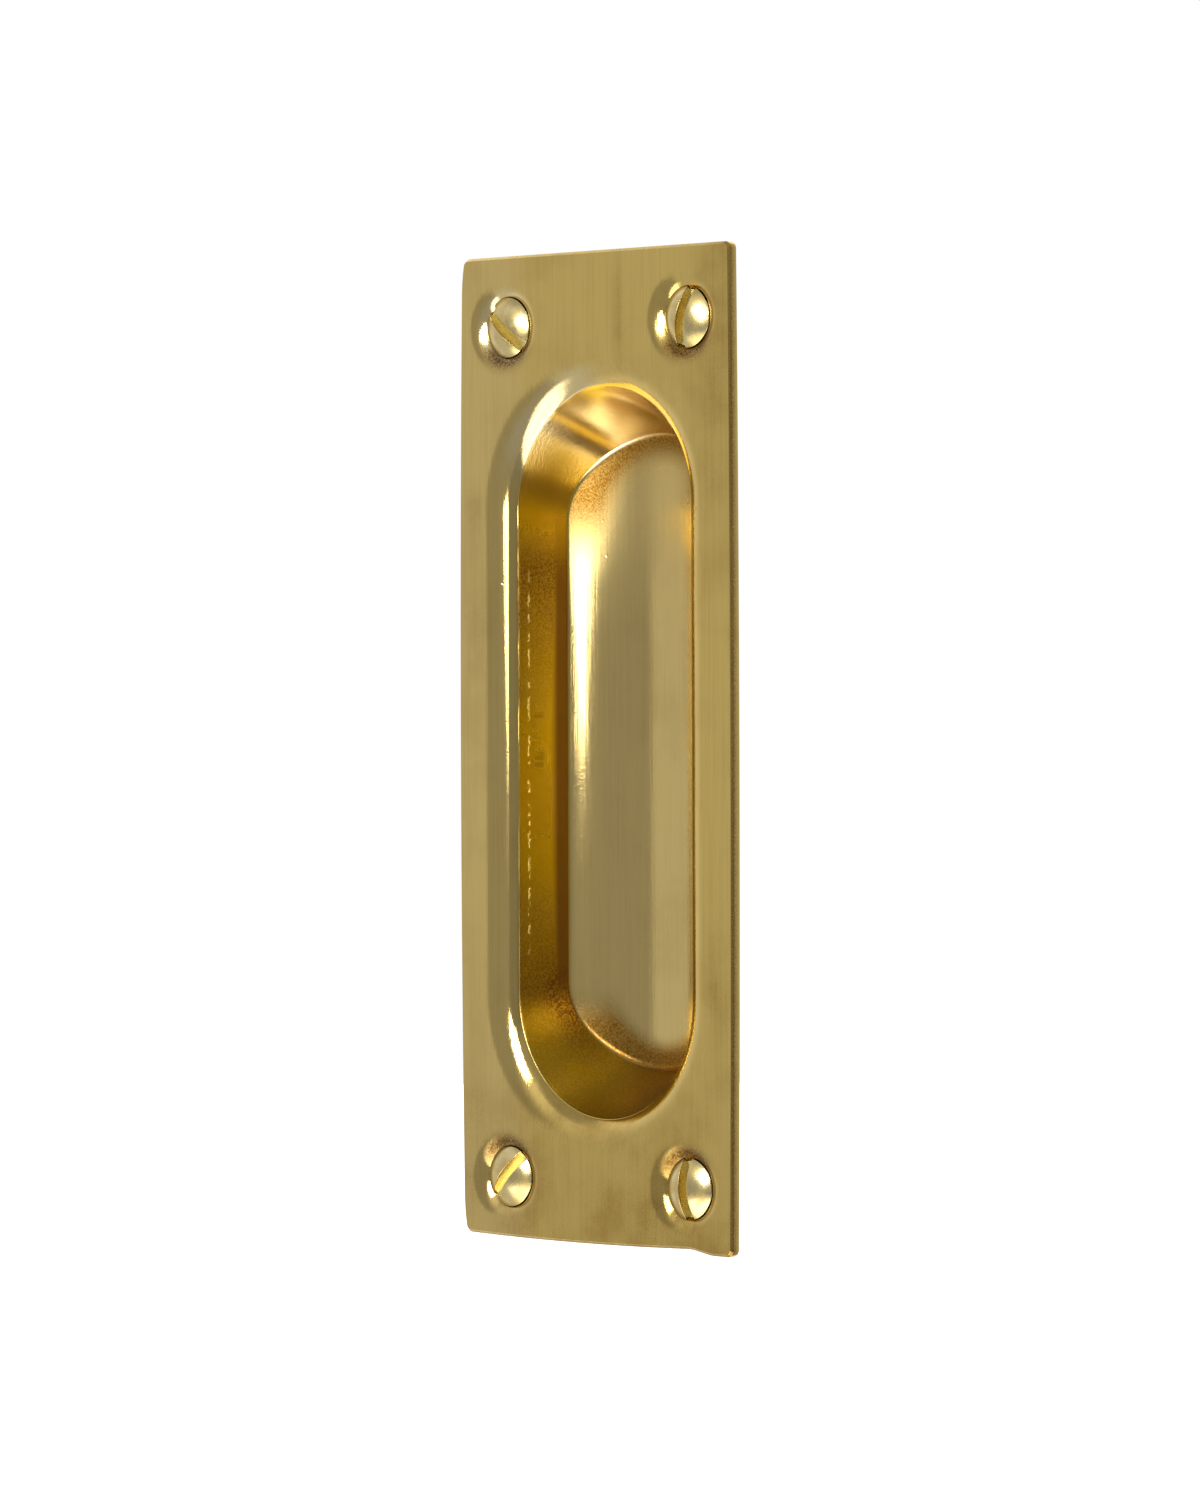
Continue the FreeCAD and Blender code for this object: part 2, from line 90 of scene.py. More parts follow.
right, up, back = camera_axes(45.0, 0.5, 0.18)
aim = np.array([0.0, FACE, 0.0]) + 0.82 * right + 0.33 * up
eye = aim + EYE_DISTANCE * back
lens = bpy.data.cameras.new("camera")
lens.sensor_fit = "VERTICAL"
lens.sensor_height = SENSOR
lens.lens = LENS_PIXELS * SENSOR / PICTURE[1]
lens.clip_start = 0.01
camera = bpy.data.objects.new("camera", lens)
scene.collection.objects.link(camera)
camera.matrix_world = placed(right, up, back, eye * MM)
scene.camera = camera


def seen_at(points):
    """Where points in millimetres land in the picture, in pixels from its upper left corner."""
    from_eye = np.atleast_2d(points) - eye
    depth = -from_eye @ back
    return PICTURE / 2 + LENS_PIXELS * np.c_[from_eye @ right, -from_eye @ up] / depth[:, None]


corners = [[x, FACE, z] for z in (57.75, -56.25) for x in (-21.9, 21.9)]
print("the face's corners lie at pixels", np.round(seen_at(corners), 1).tolist())

# %% [markdown]
# ## From arrays to a mesh
#
# Each surface of the plate is a grid: rows of points that run across the bend, and columns that run along
# it. One helper turns such a grid into four-sided faces, and another puts all the grids of a piece into
# one mesh. Neighbouring grids repeat the points of their common border, so merging points that coincide
# sews them together. A closed skin then has exactly two faces at every edge, which is easy to count.

# %% Helpers for grids and meshes
SAME_POINT = 0.0002


def grid(points, around=True):
    """The points of a grid in one long array, and its faces: each joins two neighbours of a row with the
    two below them. Around also joins the last column with the first."""
    rows, columns = points.shape[:2]
    index = np.arange(rows * columns).reshape(rows, columns)
    if around:
        index = np.hstack([index, index[:, :1]])
    faces = np.stack([index[:-1, :-1], index[:-1, 1:], index[1:, 1:], index[1:, :-1]], axis=-1)
    return points.reshape(-1, 3), faces.reshape(-1, 4)


def sewn_piece(name, patches, sharp=40.0):
    """One object from patches of (points in millimetres, faces): coinciding points are merged, the faces
    are turned outwards, and edges that bend by more than the sharp angle stay crisp."""
    starts = np.cumsum([0] + [len(points) for points, _ in patches])
    faces = [face for start, (_, part) in zip(starts, patches) for face in (part + start).tolist()]
    mesh = bpy.data.meshes.new(name)
    mesh.from_pydata(np.concatenate([points for points, _ in patches]) * MM, [], faces)
    work = bmesh.new()
    work.from_mesh(mesh)
    bmesh.ops.remove_doubles(work, verts=work.verts, dist=SAME_POINT * MM)
    bmesh.ops.recalc_face_normals(work, faces=work.faces)
    open_edges = sum(not edge.is_manifold for edge in work.edges)
    volume = work.calc_volume(signed=True) * 1e9
    work.to_mesh(mesh)
    work.free()
    mesh.shade_smooth()
    mesh.set_sharp_from_angle(angle=np.radians(sharp))
    piece = bpy.data.objects.new(name, mesh)
    scene.collection.objects.link(piece)
    print(name, len(mesh.vertices), "points,", len(mesh.polygons), "faces,", open_edges, "open edges,",
          round(volume, 1), "mm3")
    return piece


def mixed(start, end, share):
    """The values a share of the way from start to end."""
    return start + (end - start) * share


def eased(share):
    """A share from 0 to 1 that leaves its ends gently: three squares less two cubes of it."""
    share = np.clip(share, 0, 1)
    return share * share * (3 - 2 * share)


# %% [markdown]
# ## The pocket
#
# The press drew the pocket in one stroke. Seen from the front, its shape at every depth is an obround: two
# straight sides and two half circles. So one path serves all of it, a walk round the obround that keeps
# the outward direction and the place along the side at each step. The section across that path is carried
# along it: the face sinks over a wide shallow roll, turns over a tight nose, and runs down a straight wall.
#
# The floor is a gutter, part of a cylinder along the pocket, so the wall meets it deeper at the ends than
# at the sides. That depth can be found by walking down the wall and asking the gutter for its depth a few
# times over, because each answer is closer than the last. A crease with a true round joins the two, and
# the floor then runs in towards a spine. The back of the sheet is the same surface, one sheet thickness
# further on, so the function takes that distance and makes both. The polisher's wheel left the floor a
# little flatter right of its middle, by a third of a millimetre at most. In a mirror that shows: it keeps
# the gold of the left wall out of the floor's reflection.

# %% The section across the pocket's rim
ROLL_WIDTH, ROLL_RADIUS, ROLL_TURN = 18.28, 6.1, 32.2
NOSE_CENTRE, NOSE_RADIUS, NOSE_TURN = (16.20, 2.80), 2.2, 70.0
MOUTH, SIDE_DRAFT = 14.88, np.radians(20.0)
CENTRE, CENTRE_SLOPE, CENTRE_BACK = 28.42, 0.1767, 0.0726
GUTTER_RADIUS, FLOOR_DEPTH, CREASE, SPINE = 20.0, 11.9, 1.0, 26.3
FLAT_DROP, FLAT_END = 2.5, 11.6
FRINGE = 0.08


def obround_walk(side_steps, cap_steps):
    """A walk round the obround, anticlockwise seen from the front: the outward direction's parts across
    and up, and the place along the straight side from -1 to 1."""
    side = np.linspace(-1, 1, side_steps, endpoint=False)
    turn = np.linspace(0, np.pi, cap_steps, endpoint=False)
    angle = np.concatenate([0 * side, turn, np.pi + 0 * side, np.pi + turn])
    along = np.concatenate([side, 1 + 0 * turn, -side, -1 + 0 * turn])
    return np.cos(angle), np.sin(angle), along


def rim_section(behind, roll_steps, nose_steps):
    """Half width, depth and share of the wall's inward lean, from the flat face over the roll and the nose
    to the top of the wall. Both bends are arcs, with radii that the sheet's thickness makes smaller behind."""
    roll = np.radians(np.linspace(0, ROLL_TURN, roll_steps))
    nose = np.radians(np.linspace(ROLL_TURN, NOSE_TURN, nose_steps)[1:])
    roll_radius, nose_radius = ROLL_RADIUS - behind, NOSE_RADIUS - behind
    width = np.concatenate([[ROLL_WIDTH + FRINGE], ROLL_WIDTH - roll_radius * np.sin(roll),
                            NOSE_CENTRE[0] - nose_radius * np.sin(nose)])
    depth = np.concatenate([[behind], ROLL_RADIUS - roll_radius * np.cos(roll),
                            NOSE_CENTRE[1] - nose_radius * np.cos(nose)])
    lean = np.concatenate([[0], 0 * roll, eased((nose - nose[0]) / (nose[-1] - nose[0]))])
    return width[:, None], depth[:, None], lean[:, None]


print("the nose ends at half width and depth", [round(float(part[-1, 0]), 3) for part in rim_section(0, 9, 9)[:2]])


# %% The pocket's skin, in front and behind
def pocket_skin(behind, walk, roll_steps, nose_steps, wall_steps, crease_steps, floor_steps):
    """The pocket's surface on a grid: the walk round it times the way down it. A point at half width w and
    depth d lies at x = w across, y = d less the sheet, z = the side's place times the cap's centre plus
    w up; the caps' centres draw closer with the depth, which leans the end walls."""
    across, upward, along = walk

    def place(width, depth, lean=1.0):
        centre = CENTRE - CENTRE_SLOPE * depth * lean + CENTRE_BACK * behind * lean
        return np.stack(np.broadcast_arrays(width * across, depth + FACE, along * centre + width * upward), axis=-1)

    def wall(depth):
        return MOUTH - depth * np.tan(SIDE_DRAFT) + behind / np.cos(SIDE_DRAFT)

    def gutter(x):
        share = np.clip(x / FLAT_END, 0, 1)
        flatter = FLAT_DROP * share ** 2 * (1 - share)
        return FLOOR_DEPTH - GUTTER_RADIUS + np.sqrt((GUTTER_RADIUS + behind) ** 2 - x ** 2) + flatter

    width, depth, lean = rim_section(behind, roll_steps, nose_steps)
    rim = place(width, depth, lean)
    corner_depth = 0 * across + FLOOR_DEPTH
    for _ in range(12):
        corner_depth = gutter(wall(corner_depth) * across)
    corner = place(wall(corner_depth), corner_depth)

    # Unit directions up the wall and in along the floor, and the length of the crease's round on each
    up_wall = place(wall(corner_depth - 1), corner_depth - 1) - corner
    wall_length = np.linalg.norm(up_wall, axis=-1)
    spine = np.stack([0 * along, 0 * along, SPINE * along], axis=-1)
    inward = (spine - corner) * [1, 0, 1]
    inward /= np.linalg.norm(inward, axis=-1)[:, None]
    fall = (gutter(corner[:, 0] + 0.01 * inward[:, 0]) - gutter(corner[:, 0])) / 0.01
    floor_length = np.sqrt(1 + fall ** 2)
    cosine = (np.sum(up_wall * inward, axis=-1) + up_wall[:, 1] * fall) / (wall_length * floor_length)
    half_angle = np.arccos(cosine) / 2
    reach = (CREASE + behind) / np.tan(half_angle)

    def on_floor(points):
        return np.stack([points[..., 0], gutter(points[..., 0]) + FACE, points[..., 2]], axis=-1)

    crease_top = corner_depth - reach / wall_length
    wall_depth = mixed(depth[-1], crease_top, np.linspace(0, 1, wall_steps)[1:, None])
    side = place(wall(wall_depth), wall_depth)
    crease_end = on_floor(corner + inward * (reach / floor_length)[:, None])
    share = np.linspace(0, 1, crease_steps)[1:, None, None]
    pull = 2 * share * (1 - share) * np.sin(half_angle)[:, None]
    crease = (1 - share) ** 2 * side[-1] + pull * corner + share ** 2 * crease_end
    crease = crease / ((1 - share) ** 2 + pull + share ** 2)
    floor = on_floor(mixed(crease_end, spine, np.linspace(0, 1, floor_steps)[1:, None, None]))
    return np.concatenate([rim, side, crease, floor])


pocket_front = pocket_skin(0.0, obround_walk(64, 104), 12, 14, 26, 12, 26)
pocket_back = pocket_skin(SHEET, obround_walk(32, 52), 8, 8, 12, 8, 12)
print("pocket grids", pocket_front.shape[:2], pocket_back.shape[:2], "floor at", pocket_front[..., 1].max().round(3))

# %% [markdown]
# ## The dimpled seats
#
# The same press pushed a dimple round each hole, so that the screw's cone sinks in. A dimple is round, so
# one profile turned about the screw's axis makes it: in over a roll, down the cone of the seat, through the
# punched edge, which stands square to the sheet, and out again along the back.

# %% The four dimples
SCREWS = np.array([[-14.565, 49.49], [14.565, 49.49], [-14.565, -49.49], [14.565, -49.49]])
SEAT_SLOPE = np.radians(49.0)
DIMPLE_RIM, DIMPLE_ROLL = 5.97, 4.0
BACK_RIM, BACK_BEND, HOLE = 5.135, 0.96, 2.5


def dimple_profile(steps):
    """Radius and y from the face, over the roll, down the cone, through the hole's edge and out to the back."""
    turn = np.linspace(0, SEAT_SLOPE, steps)
    front = np.c_[DIMPLE_RIM - DIMPLE_ROLL * np.sin(turn), FACE + DIMPLE_ROLL - DIMPLE_ROLL * np.cos(turn)]
    hole = np.array([HOLE, front[-1, 1] + (front[-1, 0] - HOLE) * np.tan(SEAT_SLOPE)])
    edge = hole + SHEET * np.array([np.sin(SEAT_SLOPE), np.cos(SEAT_SLOPE)])
    behind = np.c_[BACK_RIM - BACK_BEND * np.sin(turn), BACK_BEND - BACK_BEND * np.cos(turn)][::-1]
    share = np.linspace(0, 1, 7)[1:-1, None]
    return np.concatenate([[[DIMPLE_RIM + FRINGE, FACE]], front, mixed(front[-1], hole, share), [hole],
                           mixed(hole, edge, share), [edge], mixed(edge, behind[0], share), behind,
                           [[BACK_RIM + FRINGE, 0]]])


def turned(profile, centre, steps):
    """A profile of radius and y, turned about the axis along Y through a centre in x and z."""
    angle = np.linspace(0, 2 * np.pi, steps, endpoint=False)
    radius, y = profile[:, :1], profile[:, 1:]
    parts = centre[0] + radius * np.cos(angle), y + 0 * angle, centre[1] + radius * np.sin(angle)
    return np.stack(parts, axis=-1)


dimples = [turned(dimple_profile(14), centre, 72) for centre in SCREWS]
print("dimple grids", [part.shape[:2] for part in dimples], "seat reaches y", dimples[0][..., 1].max().round(3))

# %% [markdown]
# ## The trimmed edge
#
# The outline was cut after pressing, and not quite true: the sides bow out by a few tenths of a millimetre,
# the left one eases in towards its corners, and at the lower right corner the shear left a small lip. It
# is a loop of eight sides. Each side is a line with a shallow bow, and each corner an arc, both worked out
# from the corner points. A file broke the edge in front with a narrow bevel, and behind it was left sharp.
# Beside the flat face the bevel mirrors another part of the room, so it shows as a dark line; on the right
# and lower edges that line is also painted shade in the bevel's colour. It is a profile carried round that loop.

# %% The outline and its edge
OUTLINE = np.array([[-21.305, -56.25], [15.225, -56.25], [18.525, -56.83], [21.925, -56.83], [21.925, 57.75],
                    [-21.305, 57.75], [-21.805, 53.05], [-21.805, -51.55]])
BOWS = np.array([0.3, 0.0, 0.0, 0.3, 0.0, 0.125, 0.42, 0.125])
ROUNDS = np.array([0.85, 8.0, 8.0, 0.85, 0.85, 0.85, 5.0, 5.0])
SIDE_STEPS = [60, 8, 8, 150, 60, 12, 140, 12]
BEVEL, BACK_ROUND = 0.3, 0.05


def outline_loop(corner_steps):
    """The outline as points in x and z, anticlockwise from the front: each side is a line with a parabola's
    bow, each corner the arc that touches both sides, written as a rational curve through its corner point."""
    ahead = np.roll(OUTLINE, -1, axis=0) - OUTLINE
    length = np.linalg.norm(ahead, axis=1)
    ahead /= length[:, None]
    outward = np.c_[ahead[:, 1], -ahead[:, 0]]
    half_turn = np.arccos(np.clip(np.sum(ahead * np.roll(ahead, 1, axis=0), axis=1), -1, 1)) / 2
    reach = ROUNDS * np.tan(half_turn)
    parts = []
    for n, steps in enumerate(SIDE_STEPS):
        after = (n + 1) % len(OUTLINE)
        share = np.linspace(reach[n] / length[n], 1 - reach[after] / length[n], steps)[:, None]
        side = OUTLINE[n] + share * length[n] * ahead[n] + 4 * BOWS[n] * share * (1 - share) * outward[n]
        parts.append(side)
    for n in range(len(OUTLINE)):
        after = (n + 1) % len(OUTLINE)
        share = np.linspace(0, 1, corner_steps)[1:-1, None]
        pull = 2 * share * (1 - share) * np.cos(half_turn[after])
        start, end = parts[2 * n][-1], parts[(2 * n + 1) % len(parts)][0]
        arc = (1 - share) ** 2 * start + pull * OUTLINE[after] + share ** 2 * end
        parts.insert(2 * n + 1, arc / ((1 - share) ** 2 + pull + share ** 2))
    return np.concatenate(parts)


def edge_skin(loop, steps):
    """The edge on a grid: the loop times a profile of inset and y, from the back round to the front. A point
    is the loop's point moved against its outward normal by the inset."""
    ahead = np.roll(loop, -1, axis=0) - np.roll(loop, 1, axis=0)
    ahead /= np.linalg.norm(ahead, axis=1)[:, None]
    outward = np.c_[ahead[:, 1], -ahead[:, 0]]
    turn = np.linspace(0, np.pi / 2, steps)[:, None]
    behind = np.c_[BACK_ROUND - BACK_ROUND * np.sin(turn), BACK_ROUND * np.cos(turn) - BACK_ROUND]
    share = np.linspace(0, 1, 4)
    front = BEVEL * np.c_[share, 1 - share] + [0, FACE]
    inset, y = np.concatenate([[[BACK_ROUND + FRINGE, 0]], behind, front, [[BEVEL + FRINGE, FACE]]]).T
    flat = loop - inset[:, None, None] * outward
    return np.stack([flat[..., 0], np.broadcast_to(y[:, None], flat.shape[:2]), flat[..., 1]], axis=-1)


edge = edge_skin(outline_loop(12), 5)
print("edge grid", edge.shape[:2], "outline", edge[..., 0].min().round(3), edge[..., 0].max().round(3),
      edge[..., 2].min().round(3), edge[..., 2].max().round(3))

# %% [markdown]
# ## The flat margins
#
# What is left is flat: the margin in front, between the outline, the pocket and the dimples, and the same
# behind. A grid has no easy way round five holes, so this is a case for a triangulation: Delaunay's, kept
# to the loops, with a net of loose points between them so that the stains of the finish have points to
# sit on. It fills the holes too, so triangles whose middle lies in a hole or outside are dropped. Every loop
# has a narrow flat fringe beyond its bend. So the normals of the margin stay exactly flat, and the
# reflection in it stays calm.

# %% Fill the flat margins
def inside(loop, points):
    """Which points lie inside a loop: those from which a ray to the right crosses it an odd number of times."""
    x, z = points[:, :1], points[:, 1:]
    start, end = loop, np.roll(loop, -1, axis=0)
    spans = (start[:, 1] > z) != (end[:, 1] > z)
    rise = np.where(start[:, 1] == end[:, 1], 1, end[:, 1] - start[:, 1])
    crossing = start[:, 0] + (z - start[:, 1]) * (end[:, 0] - start[:, 0]) / rise
    return np.count_nonzero(spans & (x < crossing), axis=1) % 2 == 1


def flat_margin(loops, y, spacing):
    """Triangles between the first loop, the outline, and the others, the holes, at one y."""
    rims = [loop[:, [0, 2]] for loop in loops]
    net = np.stack(np.meshgrid(np.arange(-22, 22, spacing), np.arange(-57, 58, spacing)), axis=-1).reshape(-1, 2)
    free = inside(rims[0], net) & ~np.any([inside(rim, net) for rim in rims[1:]], axis=0)
    near = np.min([np.min(np.hypot(*(net[:, None] - rim[None]).T), axis=0) for rim in rims], axis=0)
    net = net[free & (near > spacing / 2)]
    starts = np.cumsum([0] + [len(rim) for rim in rims])
    order = [np.arange(len(rim)) for rim in rims]
    ends = np.concatenate([np.c_[number, np.roll(number, -1)] + start for number, start in zip(order, starts)])
    points = [Vector(point) for point in np.concatenate(rims + [net]).tolist()]
    found = delaunay_2d_cdt(points, ends.tolist(), [], 0, 1e-6)
    points, triangles = np.array(found[0]), np.array(found[2])
    middle = points[triangles].mean(axis=1)
    keep = inside(rims[0], middle) & ~np.any([inside(rim, middle) for rim in rims[1:]], axis=0)
    return np.c_[points[:, 0], np.full(len(points), y), points[:, 1]], triangles[keep]


front_margin = flat_margin([edge[-1], pocket_front[0]] + [part[0] for part in dimples], FACE, 0.8)
back_margin = flat_margin([edge[0], pocket_back[0]] + [part[-1] for part in dimples], 0.0, 3.0)
print("margin triangles", len(front_margin[1]), "in front,", len(back_margin[1]), "behind")

# %% Sew the plate together
plate = sewn_piece("drawn_plate", [grid(pocket_front), grid(pocket_back), grid(edge), front_margin, back_margin]
                   + [grid(part) for part in dimples])

# %% [markdown]
# ## The screws
#
# Four raised countersunk wood screws, with a slot for a plain driver. A slot could be cut with a boolean,
# but a boolean leaves ragged faces on a polished dome. The head is a grid instead, whose rows run along the
# slot: rows step across the dome to the slot's edge, down its wall, across its floor, up the other wall and
# on over the dome. Each row ends where the head does, on the dome's rim or, in the slot, on the cone.
#
# The thread is a grid round the shank, with a radius that depends on the angle and on the distance along
# the axis: a sharp crest wherever that distance, less the pitch times the turn, is a whole number of pitches.

# %% Sizes of a screw
HEAD, CROWN, RIM = 3.475, -1.699, -0.499
DOME_HEIGHT = RIM - CROWN
DOME_RADIUS = (HEAD ** 2 + DOME_HEIGHT ** 2) / (2 * DOME_HEIGHT)
SLOT_HALF, SLOT_DEPTH, SLOT_EDGE = 0.65, 1.5, 0.07
SHANK, CORE, TIP, POINT, PITCH = 1.75, 1.22, 7.441, 2.6, 1.41
PLAIN_SHANK = 2.2
CONE = np.tan(np.radians(41.0))
NECK = RIM + (HEAD - SHANK) / CONE
TURNS = np.radians([-42.0, 76.0, 48.0, 93.0])
print("dome radius", round(DOME_RADIUS, 3), "neck at y", round(NECK, 3))


# %% The head with its slot
def dome(square):
    """y of the dome at a squared distance from the axis."""
    return CROWN + DOME_RADIUS - np.sqrt(DOME_RADIUS ** 2 - square)


def slotted_head(dome_steps, wall_steps, floor_steps, along_steps):
    """The head's top on a grid, the slot along the first axis. A row has a distance q across the slot and a
    share s of the way down it. Its ends lie on the circle of the rim, or of the cone at that depth."""
    step = np.linspace(np.pi / 2, np.arcsin((SLOT_HALF + SLOT_EDGE) / HEAD), dome_steps)
    turn = np.linspace(0, np.pi / 2, 5)[1:]
    down = np.linspace(0, 1, wall_steps)[1:]
    half = np.concatenate([HEAD * np.sin(step), SLOT_HALF + SLOT_EDGE * (1 - np.sin(turn)), 0 * down + SLOT_HALF])
    sink = np.concatenate([0 * step, 0.03 * (1 - np.cos(turn)), 0.03 + 0.97 * down])
    across = np.concatenate([half, np.linspace(SLOT_HALF, -SLOT_HALF, floor_steps)[1:-1], -half[::-1]])[:, None]
    sink = np.concatenate([sink, np.ones(floor_steps - 2), sink[::-1]])[:, None]
    floor = CROWN + SLOT_DEPTH
    radius = HEAD - CONE * sink * (floor - RIM)
    end = np.sqrt(np.maximum(radius ** 2 - across ** 2, 0))
    along = np.sin(np.linspace(-np.pi / 2, np.pi / 2, along_steps)) * end
    top = dome(np.minimum(along ** 2 + across ** 2, HEAD ** 2))
    return np.stack(np.broadcast_arrays(along, mixed(top, floor, sink), across), axis=-1)


def head_cone(head, steps):
    """The cone under the head on a grid: the rim's loop times the way down to the neck. Each point slides down
    the cone, and its angle eases to the one that its distance across the slot gives."""
    loop = np.concatenate([head[:, 0], head[-2:0:-1, -1]])
    side = np.sign(loop[:, 0])
    lowest = CROWN + SLOT_DEPTH + 0.05
    level = HEAD - CONE * (lowest - RIM)
    along = side * np.sqrt(np.maximum(HEAD ** 2 - loop[:, 2] ** 2, 0))
    angle = np.arctan2(loop[:, 2], np.where(side == 0, 0, along))
    radius = mixed(level, SHANK, np.linspace(0, 1, steps))[:, None]
    y = RIM + (HEAD - radius) / CONE
    below = np.stack(np.broadcast_arrays(radius * np.cos(angle), y, radius * np.sin(angle)), axis=-1)
    return np.concatenate([loop[None], below]), angle


head = slotted_head(26, 5, 9, 41)
cone, shank_angle = head_cone(head, 8)
print("head grid", head.shape[:2], "cone grid", cone.shape[:2], "top at y", head[..., 1].min().round(3))


# %% The shank with its thread
def threaded_shank(angle, plain_steps, thread_steps):
    """The shank on a grid of angles and distances along the axis. Past the plain part its radius is that of
    the core plus a crest, a cosine raised to the sixth power of the phase, distance over pitch less turn.
    Towards the tip everything tapers to a point, and the thread fades in and out over one pitch."""
    y = np.concatenate([np.linspace(NECK, PLAIN_SHANK, plain_steps, endpoint=False),
                        np.linspace(PLAIN_SHANK, TIP, thread_steps)])[:, None]
    phase = y / PITCH - angle / (2 * np.pi)
    crest = (0.5 + 0.5 * np.cos(2 * np.pi * phase)) ** 6
    fade = eased((y - PLAIN_SHANK) / PITCH)
    taper = np.clip((TIP - y) / POINT, 0, 1)
    radius = mixed(SHANK, mixed(CORE, SHANK, crest), fade) * taper ** 0.8 * mixed(1, taper ** 0.1, fade)
    return np.stack(np.broadcast_arrays(radius * np.cos(angle), y, radius * np.sin(angle)), axis=-1)


shank = threaded_shank(shank_angle, 3, 70)
print("shank grid", shank.shape[:2], "longest radius", np.hypot(shank[..., 0], shank[..., 2]).max().round(3))


# %% Set the four screws in their seats
def screw_at(points, centre, turn):
    """Points of a screw turned about its axis, anticlockwise from the front, and moved to its seat."""
    x, y, z = np.moveaxis(points, -1, 0)
    return np.stack([centre[0] + x * np.cos(turn) - z * np.sin(turn), y,
                     centre[1] + x * np.sin(turn) + z * np.cos(turn)], axis=-1)


screw_patches = []
for centre, turn in zip(SCREWS, TURNS):
    screw_patches.append(grid(screw_at(head, centre, turn), around=False))
    screw_patches.append(grid(screw_at(cone, centre, turn)))
    screw_patches.append(grid(screw_at(shank, centre, turn)))
screws = sewn_piece("wood_screws", screw_patches, sharp=50.0)

# %% [markdown]
# ## Where the plate is worn, and where light is painted
#
# Brass is a metal, so its base colour is the tint of its reflection, and light that is reflected twice, as
# inside the pocket, is tinted twice and turns a deep gold. That comes by itself. What has to be made is the
# wear, and some painted light besides, and both belong to places: the drawn wall, which the polishing wheel
# didn't reach, kept a darker gold, deepened further as painted shade on the pocket's wall; the metal
# stretched at both ends of the floor, and its skin is grainy there, as orange peel is, with a dark brown that
# is partly a painted reflection of the wall beside it; the lower crease carries a painted reflection in
# copper; fingers polished the rim, and a pale tone with painted highlights lies on the upper crease, the
# upper end wall and the upper left of the rim; brown tarnish lies on the margins; soil beside the screws, on
# the side that faces the pocket, is darkened further as painted shade, and painted shade darkens the wall,
# its foot and the bevel on the right and lower edges. Such places could be painted by hand. Here each is a
# formula of the point's position, worked out for all points at once and stored as an attribute that the
# material reads.

# %% Helpers that read and store
def read_points(mesh, what, scale=1.0):
    """The coordinates or normals of all points of a mesh as three arrays."""
    source, key = (mesh.vertices, "co") if what == "co" else (mesh.vertex_normals, "vector")
    values = np.empty(3 * len(mesh.vertices), np.float32)
    source.foreach_get(key, values)
    return values.reshape(-1, 3).T.astype(float) * scale


def store(mesh, name, values):
    """Keeps one number for each point of a mesh under a name."""
    kept = mesh.attributes.new(name, "FLOAT", "POINT")
    kept.data.foreach_set("value", np.clip(values, 0, 1).astype(np.float32))
    print("attribute", name, "mean", values.mean().round(4))


def blot(x, z, centre, reach):
    """A soft spot: the bell curve of the distance from its centre, measured in reaches across and up."""
    return np.exp(-((x - centre[0]) / reach[0]) ** 2 - ((z - centre[1]) / reach[1]) ** 2)


# %% The wall, the floor and the crease between them
x, y, z = read_points(plate.data, "co", 1 / MM)
facing = -read_points(plate.data, "normal")[1]
depth = y - FACE
front = eased(facing / 0.1)
steep = front * eased((0.80 - facing) / 0.3) * eased((depth - 1.5) / 0.8)
head_end, foot_end = eased((z - 28) / 7), eased((-z - 27) / 5)
# The steep wall, except at the upper end: its darker gold is partly the drawn metal's own tint and partly painted
# shade on the pocket's wall.
store(plate.data, "drawn_wall_and_shade", steep * (1 - head_end))

CAP_CENTRE = 26.9
from_spine = np.hypot(x, np.maximum(np.abs(z) - CAP_CENTRE, 0))
on_floor = front * eased((facing - 0.62) / 0.2) * eased((depth - 6) / 1)
# The grainy skin at both ends of the floor near the crease; the dark brown laid on it is partly a painted reflection
# of the wall in that corner.
peel_and_shade = eased((z - 21) / 9) * eased((from_spine - 5.8) / 3.6) + foot_end * eased((from_spine - 6.0) / 2.6)
store(plate.data, "orange_peel_and_shade", on_floor * peel_and_shade)

crease = front * eased((depth - 6) / 1) * np.exp(-((facing - 0.66) / 0.12) ** 2)
# Along the crease at the lower end a copper tint is painted: a painted reflection, stronger towards the right.
store(plate.data, "foot_crease_reflection", crease * foot_end * mixed(0.3, 0.65, eased((x + 8) / 8)))

# %% Pale tone and painted highlights, and where fingers polished
LIP = 2.2
upper_wall = steep * eased((z - 31) / 7)
# Painted highlight: a pale band on the upper crease, and the upper end wall made pale with a painted hot spot near its
# middle.
pale_and_highlight = 0.8 * crease * eased((z - 30) / 5) + upper_wall * (0.5 + blot(x, z, (-2.0, 40.6), (2.8, 1.8)))
# A paler tone over the floor away from its grainy ends, and over the left margin and roll.
pale_and_highlight = pale_and_highlight + 0.15 * on_floor * (1 - peel_and_shade) + 0.1 * front * eased((-x - 9) / 6) * (depth < LIP)
polish = front * eased((depth - 0.1) / 0.5) * eased((2.6 - depth) / 0.8)
# Painted highlight on the upper left of the rim.
store(plate.data, "pale_and_painted_highlight", pale_and_highlight + 0.4 * polish * eased((z - 30) / 8) * eased((2 - x) / 6))
store(plate.data, "dull", on_floor * eased((z - 12) / 18))
store(plate.data, "finger_polish", polish + on_floor * eased((28 - z) / 20) * (1 - peel_and_shade))

